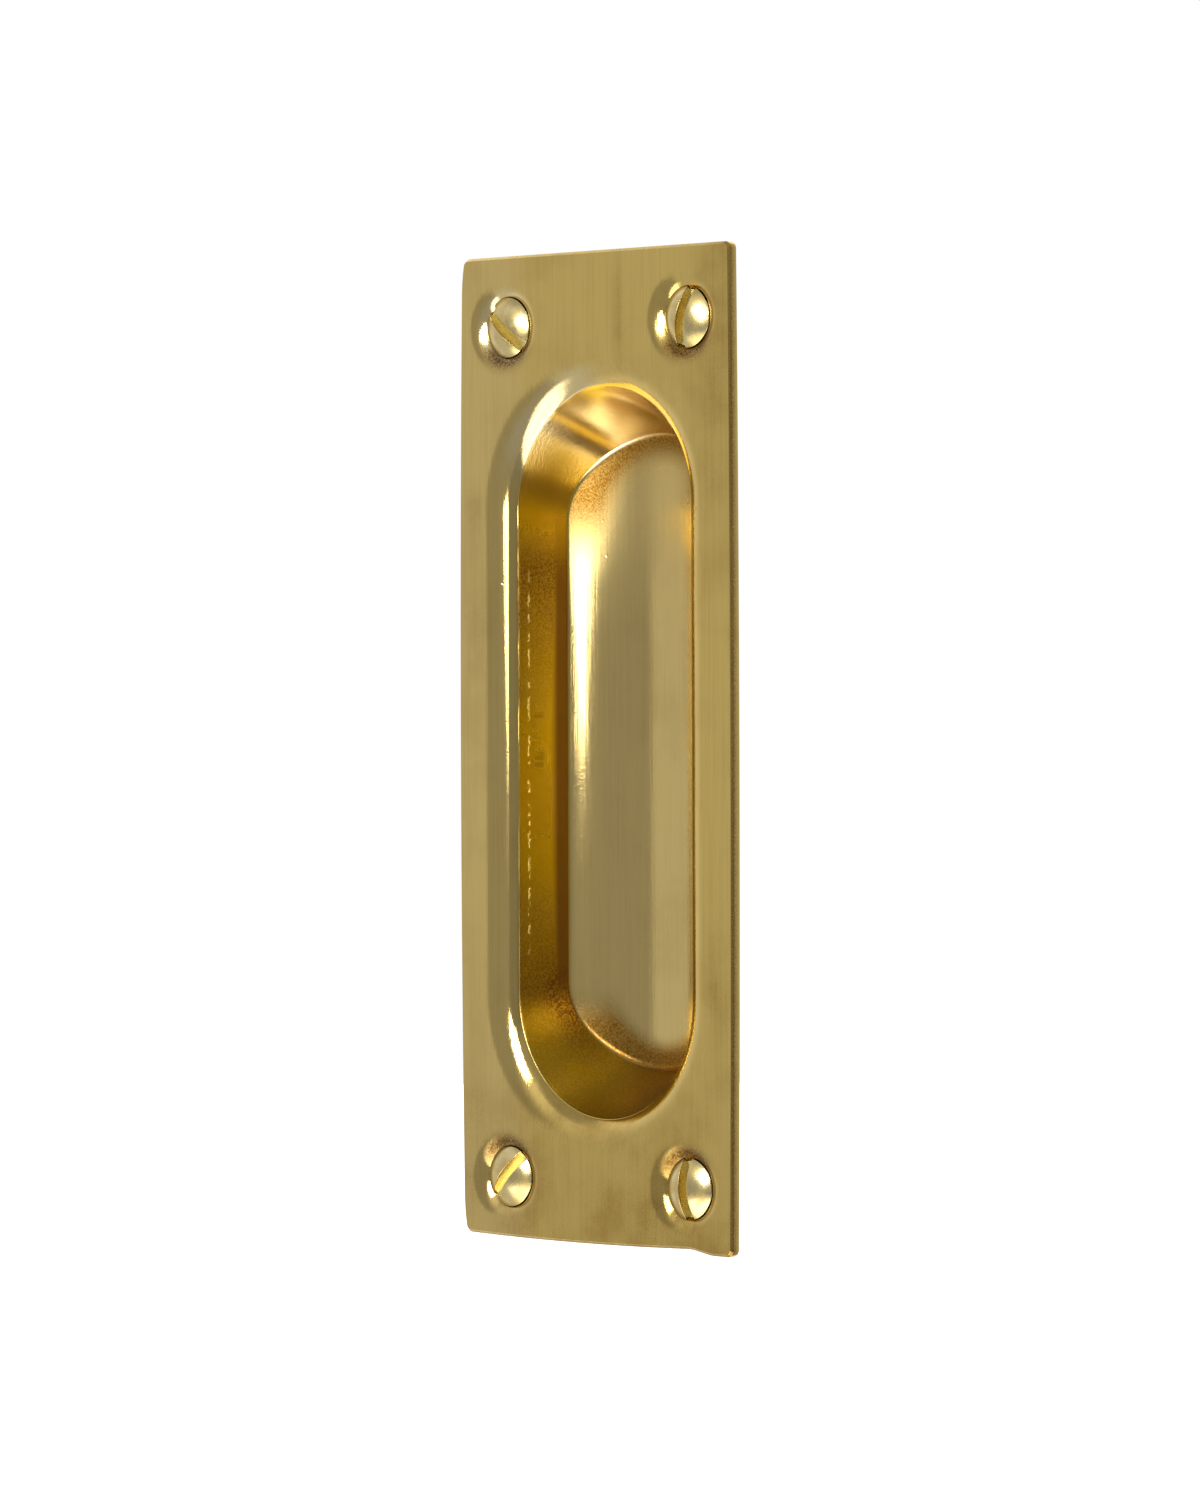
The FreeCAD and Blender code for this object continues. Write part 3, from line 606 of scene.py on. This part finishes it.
# %% Tarnish on the margins
STAINS = [(0.7, (4.1, 51), (0.9, 6)), (0.6, (-19.6, 25), (1.6, 6)), (0.5, (-19, 14), (2, 5)), (0.5, (20, 45), (4, 18)),
          (0.7, (10, -53), (4, 2.5)), (0.45, (-19.5, -32), (2, 12)), (0.55, (19.5, -28), (2, 10))]
stain = 0.5 * eased((-z - 25) / 30) + sum(strength * blot(x, z, centre, reach) for strength, centre, reach in STAINS)
store(plate.data, "tarnish", front * np.where(depth < LIP, stain, 0))

# %% Painted shade on the wall and the bevel, and soil with painted shade beside the screws
# Painted shade on the steep wall: growing away from its middle height, strongest at the lower end and to the right
# there, and deep in the pocket near z = -30.
sides = (1 - np.exp(-((z + 4) / 17) ** 2)) * eased((28 - z) / 7) * (1 - foot_end)
ends = foot_end * (0.5 + 0.5 * eased((x + 3) / 9)) + 0.5 * blot(depth, z, (8, -30), (2.5, 5))
soil = steep * (sides + ends)
# Beside each screw, on the side towards the pocket: a ring of brown soil, also painted shade that dims the dimple's
# reflection.
for cx, cz in SCREWS:
    away = np.hypot(x - cx, z - cz)
    towards = np.sign(cz) * (cz - z) / np.maximum(away, 1)
    soil = soil + np.exp(-((away - 4.1) / 0.9) ** 2) * eased((towards - 0.2) / 0.6) * front
# Painted shade on the front bevel of the right edge and of the lower edge.
bevel = eased((-y - 0.3) / 0.3) * eased((0.95 - facing) / 0.1)
store(plate.data, "soil", soil + bevel * (0.75 * eased((x - 21.7) / 0.2) + 0.7 * eased((-z - 55.4) / 0.3)))

# %% [markdown]
# ## The finish of the plate
#
# The material starts from clean brass and lays the wear, the painted shade and the painted highlights over
# it. Noise textures read the object's own coordinates, in metres, so their scales are counts per metre.
# Stretching the coordinates makes a direction: the brush marks run up and down, so the pattern is stretched
# that way. A bump bends the reflection without moving the surface, and its distance is a real height: a few
# thousandths of a millimetre are enough here.

# %% Helpers for materials
def node(tree, kind, inputs=None, **settings):
    """A new node: settings are its own properties, and inputs are values, or sockets to be linked, by name or
    number."""
    made = tree.nodes.new("ShaderNode" + kind)
    for key, value in settings.items():
        setattr(made, key, value)
    for key, value in (inputs or {}).items():
        if isinstance(value, bpy.types.NodeSocket):
            tree.links.new(value, made.inputs[key])
        else:
            made.inputs[key].default_value = value
    return made


def math(tree, operation, *values, clamp=False):
    """One step of arithmetic on values or sockets."""
    return node(tree, "Math", dict(enumerate(values)), operation=operation, use_clamp=clamp).outputs[0]


def blended(tree, share, first, second):
    """A colour a share of the way from the first colour to the second."""
    made = node(tree, "Mix", {"Factor": share}, data_type="RGBA")
    for socket, value in zip(made.inputs[6:8], (first, second)):
        if isinstance(value, bpy.types.NodeSocket):
            tree.links.new(value, socket)
        else:
            socket.default_value = (*value, 1)
    return made.outputs[2]


def attribute(tree, name):
    """The number that a mesh keeps at each point under a name."""
    return node(tree, "Attribute", attribute_name=name).outputs["Fac"]


def noise(tree, coordinates, scale, stretch=(1, 1, 1), detail=3.0, roughness=0.55):
    """Noise from 0 to 1 with a scale in counts per metre, along each axis times the stretch."""
    place = node(tree, "Mapping", {"Vector": coordinates, "Scale": stretch}).outputs[0]
    inputs = {"Vector": place, "Scale": scale, "Detail": detail, "Roughness": roughness}
    return node(tree, "TexNoise", inputs).outputs[0]


def between(tree, value, low, high, to_low=0.0, to_high=1.0):
    """A value's place between low and high, eased and brought to another range."""
    inputs = {"Value": value, "From Min": low, "From Max": high, "To Min": to_low, "To Max": to_high}
    return node(tree, "MapRange", inputs, interpolation_type="SMOOTHSTEP").outputs[0]


def metal(name):
    """A new material with a fully metallic shader: its node tree and the shader."""
    material = bpy.data.materials.new(name)
    material.use_nodes = True
    shader = material.node_tree.nodes["Principled BSDF"]
    shader.inputs["Metallic"].default_value = 1.0
    return material, material.node_tree, shader


# %% Brushed and worn brass, with painted shade and highlights
CLEAN = (0.78, 0.568, 0.178)
TARNISH = (0.42, 0.25, 0.05)
DRAWN_GOLD_AND_SHADE = (0.68, 0.455, 0.012)
PEEL_BROWN_AND_SHADE = (0.23, 0.095, 0.004)
COPPER_CREASE_REFLECTION = (0.55, 0.27, 0.14)
PALE_AND_HIGHLIGHT = (0.95, 0.84, 0.55)
SOIL_AND_SHADE = (0.15, 0.064, 0.012)
BRIGHT_MARK = (0.92, 0.74, 0.26)

plate_brass, tree, shader = metal("plate_brass_wear_and_painted_light")
space = node(tree, "TexCoord").outputs["Object"]
axes = node(tree, "SeparateXYZ", {0: space}).outputs
cloud = noise(tree, space, 130, detail=4)
speckle = noise(tree, space, 4200, detail=2)
brush = noise(tree, space, 3000, (1, 1, 0.02), detail=4, roughness=0.65)
waves = noise(tree, space, 110, (1, 1, 0.5), detail=2)
grain = noise(tree, space, 4500, detail=3, roughness=0.75)
wall, peel_and_shade = attribute(tree, "drawn_wall_and_shade"), attribute(tree, "orange_peel_and_shade")

patchy = math(tree, "ADD", cloud, math(tree, "MULTIPLY", speckle, 0.5))
patchy = math(tree, "MULTIPLY", attribute(tree, "tarnish"), between(tree, patchy, 0.5, 1.0, 0.35, 1.0))
film = math(tree, "ADD", patchy, between(tree, cloud, 0.42, 0.75, 0.0, 0.2))
film = math(tree, "ADD", film, between(tree, brush, 0.4, 0.7, 0.0, 0.14), clamp=True)
colour = blended(tree, film, CLEAN, TARNISH)
# The wall's deeper gold: partly its own tint, partly painted shade.
colour = blended(tree, math(tree, "MULTIPLY", wall, between(tree, cloud, 0.3, 0.7, 0.8, 1.0)), colour, DRAWN_GOLD_AND_SHADE)
# Grainy brown at the floor's ends, partly a painted reflection of the wall.
grainy_brown_and_shade = math(tree, "MULTIPLY", peel_and_shade, between(tree, grain, 0.40, 0.60, 0.7, 1.0))
colour = blended(tree, grainy_brown_and_shade, colour, PEEL_BROWN_AND_SHADE)
# Painted reflection in copper along the lower crease.
colour = blended(tree, attribute(tree, "foot_crease_reflection"), colour, COPPER_CREASE_REFLECTION)
# Pale tone and painted highlights.
colour = blended(tree, attribute(tree, "pale_and_painted_highlight"), colour, PALE_AND_HIGHLIGHT)
print("colour so far", len(tree.nodes), "nodes")

# %% [markdown]
# The die left its own marks on the wall: a fine bright line where the wall begins, and on the left side a
# broken ridge along it and short ticks below the ridge. A darker foot deep on the left wall, near the crease,
# is painted shade. They are finer than the mesh, so the material finds their place from the coordinates: Y
# tells how deep a point lies, X on which side, and Z how high.

# %% The die's marks on the wall, and painted shade at its foot
def strip(tree, value, start, full, fade, end):
    """1 where a coordinate lies between full and fade, in millimetres, and eased to 0 at start and at end."""
    rising = between(tree, value, start * MM, full * MM)
    return math(tree, "MULTIPLY", rising, between(tree, value, end * MM, fade * MM))


left = math(tree, "MULTIPLY", wall, between(tree, axes[0], -4 * MM, -6 * MM))
middle, straight = strip(tree, axes[2], -26, -20, 16, 24), strip(tree, axes[2], -36, -26, 19, 31)
# Painted shade: a darker foot deep on the left wall, near the crease, along the straight part of the side.
shaded_foot = math(tree, "MULTIPLY", math(tree, "MULTIPLY", left, straight), between(tree, axes[1], 4.2 * MM, 5.6 * MM))
dashes = between(tree, noise(tree, space, 1300, (1, 1, 0.7), detail=4), 0.49, 0.56)
wander = math(tree, "MULTIPLY_ADD", noise(tree, space, 1600, (0, 0, 1), detail=3), 0.7 * MM, -0.35 * MM)
wander = math(tree, "ADD", axes[1], wander)
ridge = math(tree, "MULTIPLY", strip(tree, wander, 1.80, 1.95, 2.00, 2.15), left)
ridge = math(tree, "MULTIPLY", ridge, math(tree, "MULTIPLY", middle, dashes))
ticks = between(tree, noise(tree, space, 1100, (0.06, 0.06, 1), detail=1), 0.56, 0.66)
ticks = math(tree, "MULTIPLY", ticks, strip(tree, axes[1], 2.4, 2.7, 3.4, 4.2))
ticks = math(tree, "MULTIPLY", ticks, math(tree, "MULTIPLY", left, middle))
brim = strip(tree, axes[1], 0.66, 0.76, 0.78, 0.88)
brim = math(tree, "MULTIPLY", brim, math(tree, "MULTIPLY", wall, 1.5, clamp=True))
ridge = math(tree, "MAXIMUM", ridge, math(tree, "MULTIPLY", brim, between(tree, cloud, 0.35, 0.6, 0.3, 0.9)))
print("with the die's marks", len(tree.nodes), "nodes")

# %% Soil and painted shade over the colour, and how rough it all is
# The soil and painted shade, speckled, with the painted shade at the wall's foot and the die's dark ticks.
soil = math(tree, "MULTIPLY", attribute(tree, "soil"), between(tree, speckle, 0.36, 0.60, 0.65, 1.0))
soil = math(tree, "MAXIMUM", soil, math(tree, "MULTIPLY", shaded_foot, 0.92))
soil = math(tree, "MAXIMUM", soil, math(tree, "MULTIPLY", ticks, 0.5), clamp=True)
colour = blended(tree, soil, colour, SOIL_AND_SHADE)
tree.links.new(blended(tree, ridge, colour, BRIGHT_MARK), shader.inputs["Base Color"])

rough = math(tree, "ADD", between(tree, cloud, 0.3, 0.7, 0.12, 0.17), math(tree, "MULTIPLY", wall, 0.1))
rough = math(tree, "ADD", rough, math(tree, "MULTIPLY", peel_and_shade, 0.14))
rough = math(tree, "ADD", rough, math(tree, "MULTIPLY", attribute(tree, "dull"), 0.11))
rough = math(tree, "SUBTRACT", rough, math(tree, "MULTIPLY", attribute(tree, "finger_polish"), 0.06))
tree.links.new(math(tree, "ADD", rough, math(tree, "MULTIPLY", soil, 0.22)), shader.inputs["Roughness"])
print("with soil and roughness", len(tree.nodes), "nodes")


# %% The relief: waves, brush marks, pits and grain
def bumped(tree, height, distance, below=None, strength=1.0):
    """A bump of a height in metres, laid over the bump below it."""
    inputs = {"Height": height, "Distance": abs(distance), "Strength": strength}
    made = node(tree, "Bump", inputs, invert=distance < 0)
    if below:
        tree.links.new(below, made.inputs["Normal"])
    return made.outputs[0]


cells = node(tree, "TexVoronoi", {"Vector": space, "Scale": 420.0}).outputs
pits = math(tree, "MULTIPLY", between(tree, cells["Distance"], 0.08, 0.02), between(tree, cells["Color"], 0.6, 0.7))
relief = bumped(tree, waves, 0.00005)
relief = bumped(tree, brush, 0.000010, relief)
relief = bumped(tree, speckle, 0.000005, relief)
relief = bumped(tree, pits, -0.00002, relief)
relief = bumped(tree, grain, 0.00002, relief, strength=peel_and_shade)
tree.links.new(bumped(tree, ridge, 0.00006, relief), shader.inputs["Normal"])
plate.data.materials.append(plate_brass)
print(plate_brass.name, len(tree.nodes), "nodes")

# %% [markdown]
# ## The finish of the screws
#
# The screws are turned from a paler brass and were polished on their own. Drivers have slipped over them, so
# their domes carry scratches in all directions. Two stretched noises, turned against each other, look like
# that. The floors of the slots kept the yellow of fresh brass. Their points are found by where they lie: they
# look forwards, below the rim.

# %% Pale scratched brass
y = read_points(screws.data, "co", 1 / MM)[1]
facing = -read_points(screws.data, "normal")[1]
store(screws.data, "slot", eased((facing - 0.5) / 0.3) * eased((y - RIM - 0.1) / 0.1))

POLISHED, MOTTLED, SLOT_YELLOW = (0.82, 0.67, 0.33), (0.70, 0.53, 0.19), (0.88, 0.75, 0.30)
screw_brass, tree, shader = metal("scratched_screw_brass")
space = node(tree, "TexCoord").outputs["Object"]
mottle = noise(tree, space, 700, detail=3)
ways = [node(tree, "Mapping", {"Vector": space, "Rotation": (0, turn, 0)}).outputs[0] for turn in (0.6, -0.9)]
scratches = math(tree, "ADD", *[noise(tree, way, 2600, (1, 1, 0.08)) for way in ways])
colour = blended(tree, between(tree, mottle, 0.35, 0.7), POLISHED, MOTTLED)
tree.links.new(blended(tree, attribute(tree, "slot"), colour, SLOT_YELLOW), shader.inputs["Base Color"])
tree.links.new(between(tree, mottle, 0.3, 0.7, 0.18, 0.32), shader.inputs["Roughness"])
tree.links.new(bumped(tree, scratches, 0.000012, strength=0.6), shader.inputs["Normal"])
screws.data.materials.append(screw_brass)
print(screw_brass.name, len(tree.nodes), "nodes")

# %% [markdown]
# ## The room
#
# A shiny plate is lit by what stands round it. Here that is a photographer's tent of grey paper: a dome
# whose glow depends on the direction. Its left half is lighter, and the edge between the halves is the
# sharp line that runs down the pocket's floor. A tilted softbox stands close in front, so that its lower
# corner ends the long highlight on the rim half way down. The pull is held up over the floor, and there lies
# more paper: white near the pull, which lights the upper rim from below, and grey further off.
#
# All of this could be separate cards, but directions are easier to reason about on one dome: a bright box
# in azimuth and elevation is a bright card there. Only reflections matter, so the camera doesn't see the
# paper, only the plain white behind it.

# %% How the paper glows
def soft_step(value, edge, soft):
    """0 below an edge and 1 above it, eased over the given width."""
    return eased((value - edge) / soft + 0.5)


def wall_glow(azimuth):
    """The tent's brightness by azimuth in degrees, from the front towards +X: dark in front, lighter from
    the left of an edge at -33, and brightest square to the side."""
    light = mixed(0.34, 0.56, soft_step(-azimuth, 33, 2.5))
    light = light + 0.18 * soft_step(-azimuth, 72, 20) + 0.55 * soft_step(-azimuth, 92, 14)
    return light - 0.08 * soft_step(azimuth, 26, 10) + 0.3 * soft_step(azimuth, 95, 30)


def tent_glow(azimuth, elevation):
    """The wall's brightness, lighter where the softbox's light spills on it, which fades to a dimmer top."""
    spill = soft_step(azimuth, -26, 30) * soft_step(-azimuth, -12, 20)
    wall = wall_glow(azimuth) + soft_step(elevation, 24, 20) * (0.12 + 0.45 * spill)
    return mixed(wall, 0.38, soft_step(elevation, 46, 12))


WHITE_PAPER = 2.4


def floor_glow(azimuth, distance):
    """The paper on the floor: white in front and to the right, near the pull, and like the wall further off."""
    near = soft_step(-distance, -262, 40) * soft_step(azimuth, -36, 16) * soft_step(-azimuth, -80, 20)
    return mixed(wall_glow(azimuth), WHITE_PAPER, near)


print("glow at -60, 0 and 60 degrees", np.round(tent_glow(np.array([-60.0, 0.0, 60.0]), 0.0), 2).tolist())

# %% Put up the tent and lay the paper on the floor
FLOOR = -156.85
PAPER_LIFT = 0.02
TENT = 2000.0


def glowing_paper(name, points, brightness):
    """A sheet of paper that only reflections see, with its brightness stored at each point."""
    places, faces = grid(points, around=False)
    mesh = bpy.data.meshes.new(name)
    mesh.from_pydata(places * MM, [], faces.tolist())
    glow = mesh.attributes.new("glow", "FLOAT", "POINT")
    glow.data.foreach_set("value", brightness.ravel().astype(np.float32))
    sheet = bpy.data.objects.new(name, mesh)
    scene.collection.objects.link(sheet)
    sheet.visible_camera = False
    sheet.visible_shadow = False
    material = bpy.data.materials.new(name)
    material.use_nodes = True
    material.cycles.emission_sampling = "NONE"
    tree = material.node_tree
    tree.nodes.clear()
    emission = node(tree, "Emission", {"Strength": attribute(tree, "glow")})
    node(tree, "OutputMaterial", {"Surface": emission.outputs[0]})
    mesh.materials.append(material)
    print(name, len(mesh.vertices), "points, brightness", brightness.min().round(2), "to", brightness.max().round(2))
    return sheet


azimuth, elevation = np.meshgrid(np.linspace(-180, 180, 1081), np.linspace(-6, 90, 49))
a, e = np.radians(azimuth), np.radians(elevation)
dome_points = TENT * np.stack([np.cos(e) * np.sin(a), -np.cos(e) * np.cos(a), np.sin(e)], axis=-1)
glowing_paper("paper_tent", dome_points, tent_glow(azimuth, elevation))

rings = np.concatenate([np.linspace(0, 400, 61), [800, TENT]])
azimuth, distance = np.meshgrid(np.linspace(-180, 180, 721), rings)
a = np.radians(azimuth)
floor_points = np.stack([distance * np.sin(a), -distance * np.cos(a), np.full(a.shape, FLOOR + PAPER_LIFT)], axis=-1)
floor_paper = glowing_paper("floor_paper", floor_points, floor_glow(azimuth, distance))
floor_paper.visible_diffuse = False

# %% Set up the softbox
def softbox(name, azimuth, distance, height, tilt, width, length, brightness):
    """A rectangular lamp at an azimuth, a distance and a height, facing the pull, with its long side tilted
    from upright towards the left, and as bright as white paper times the brightness."""
    lamp = bpy.data.lights.new(name, "AREA")
    lamp.shape = "RECTANGLE"
    lamp.size, lamp.size_y = width * MM, length * MM
    lamp.energy = brightness * np.pi * lamp.size * lamp.size_y
    a, lean = np.radians([azimuth, tilt])
    back = np.array([np.sin(a), -np.cos(a), 0.0])
    level, upright = np.array([np.cos(a), np.sin(a), 0.0]), np.array([0.0, 0.0, 1.0])
    long_side = np.cos(lean) * upright - np.sin(lean) * level
    short_side = np.cross(long_side, back)
    place = (distance * back + height * upright) * MM
    piece = bpy.data.objects.new(name, lamp)
    scene.collection.objects.link(piece)
    piece.matrix_world = placed(short_side, long_side, back, place)
    piece.visible_camera = False
    print(name, "at", np.round(place * 1000).tolist(), "mm,", round(lamp.energy, 2), "W")


softbox("softbox", azimuth=14.2, distance=350.0, height=128.0, tilt=45.0, width=155.0, length=222.0, brightness=8.0)

# %% The floor and the white behind everything
WORLD_LIGHT, FLOOR_LIFT = 0.4, 0.72


def white_share(tree):
    """1 for the camera and for what polished metal or glass shows, 0 for the light that falls on things."""
    path = node(tree, "LightPath").outputs
    shown = math(tree, "MAXIMUM", path["Is Camera Ray"], path["Is Glossy Ray"])
    return math(tree, "MAXIMUM", shown, path["Is Transmission Ray"])


world = bpy.data.worlds.new("white")
scene.world = world
world.use_nodes = True
tree = world.node_tree
background = tree.nodes["Background"]
background.inputs["Color"].default_value = (1, 1, 1, 1)
level = node(tree, "MapRange", {"Value": white_share(tree), "To Min": WORLD_LIGHT, "To Max": 1.0})
tree.links.new(level.outputs["Result"], background.inputs["Strength"])

ring = np.linspace(0, 2 * np.pi, 128, endpoint=False)
reach = np.array([0.0, 150.0, 600.0, 1990.0])[::-1, None]
disc = np.broadcast_arrays(reach * np.cos(ring), reach * np.sin(ring), FLOOR)
points, faces = grid(np.stack(disc, axis=-1))
mesh = bpy.data.meshes.new("floor")
mesh.from_pydata(points * MM, [], faces.tolist())
floor = bpy.data.objects.new("floor", mesh)
scene.collection.objects.link(floor)
pale_floor = bpy.data.materials.new("pale_floor")
pale_floor.use_nodes = True
tree = pale_floor.node_tree
shader = tree.nodes["Principled BSDF"]
shader.inputs["Base Color"].default_value = (0.8, 0.8, 0.8, 1)
shader.inputs["Roughness"].default_value = 1.0
shader.inputs["Specular IOR Level"].default_value = 0.0
shader.inputs["Emission Color"].default_value = (1, 1, 1, 1)
tree.links.new(math(tree, "MULTIPLY", white_share(tree), FLOOR_LIFT), shader.inputs["Emission Strength"])
mesh.materials.append(pale_floor)
print("floor at", FLOOR, "mm")

# %% [markdown]
# ## On the body
#
# The plate and the screws stand for the imported nodes, which are hidden, and ride on the one body.

# %% Attach the pieces to the body and hide the imported parts
for piece, node, slot in ((plate, "pull_plate", "plate_brass"), (screws, "mounting_screws", "screw_brass")):
    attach(piece, "root")
    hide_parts(node)
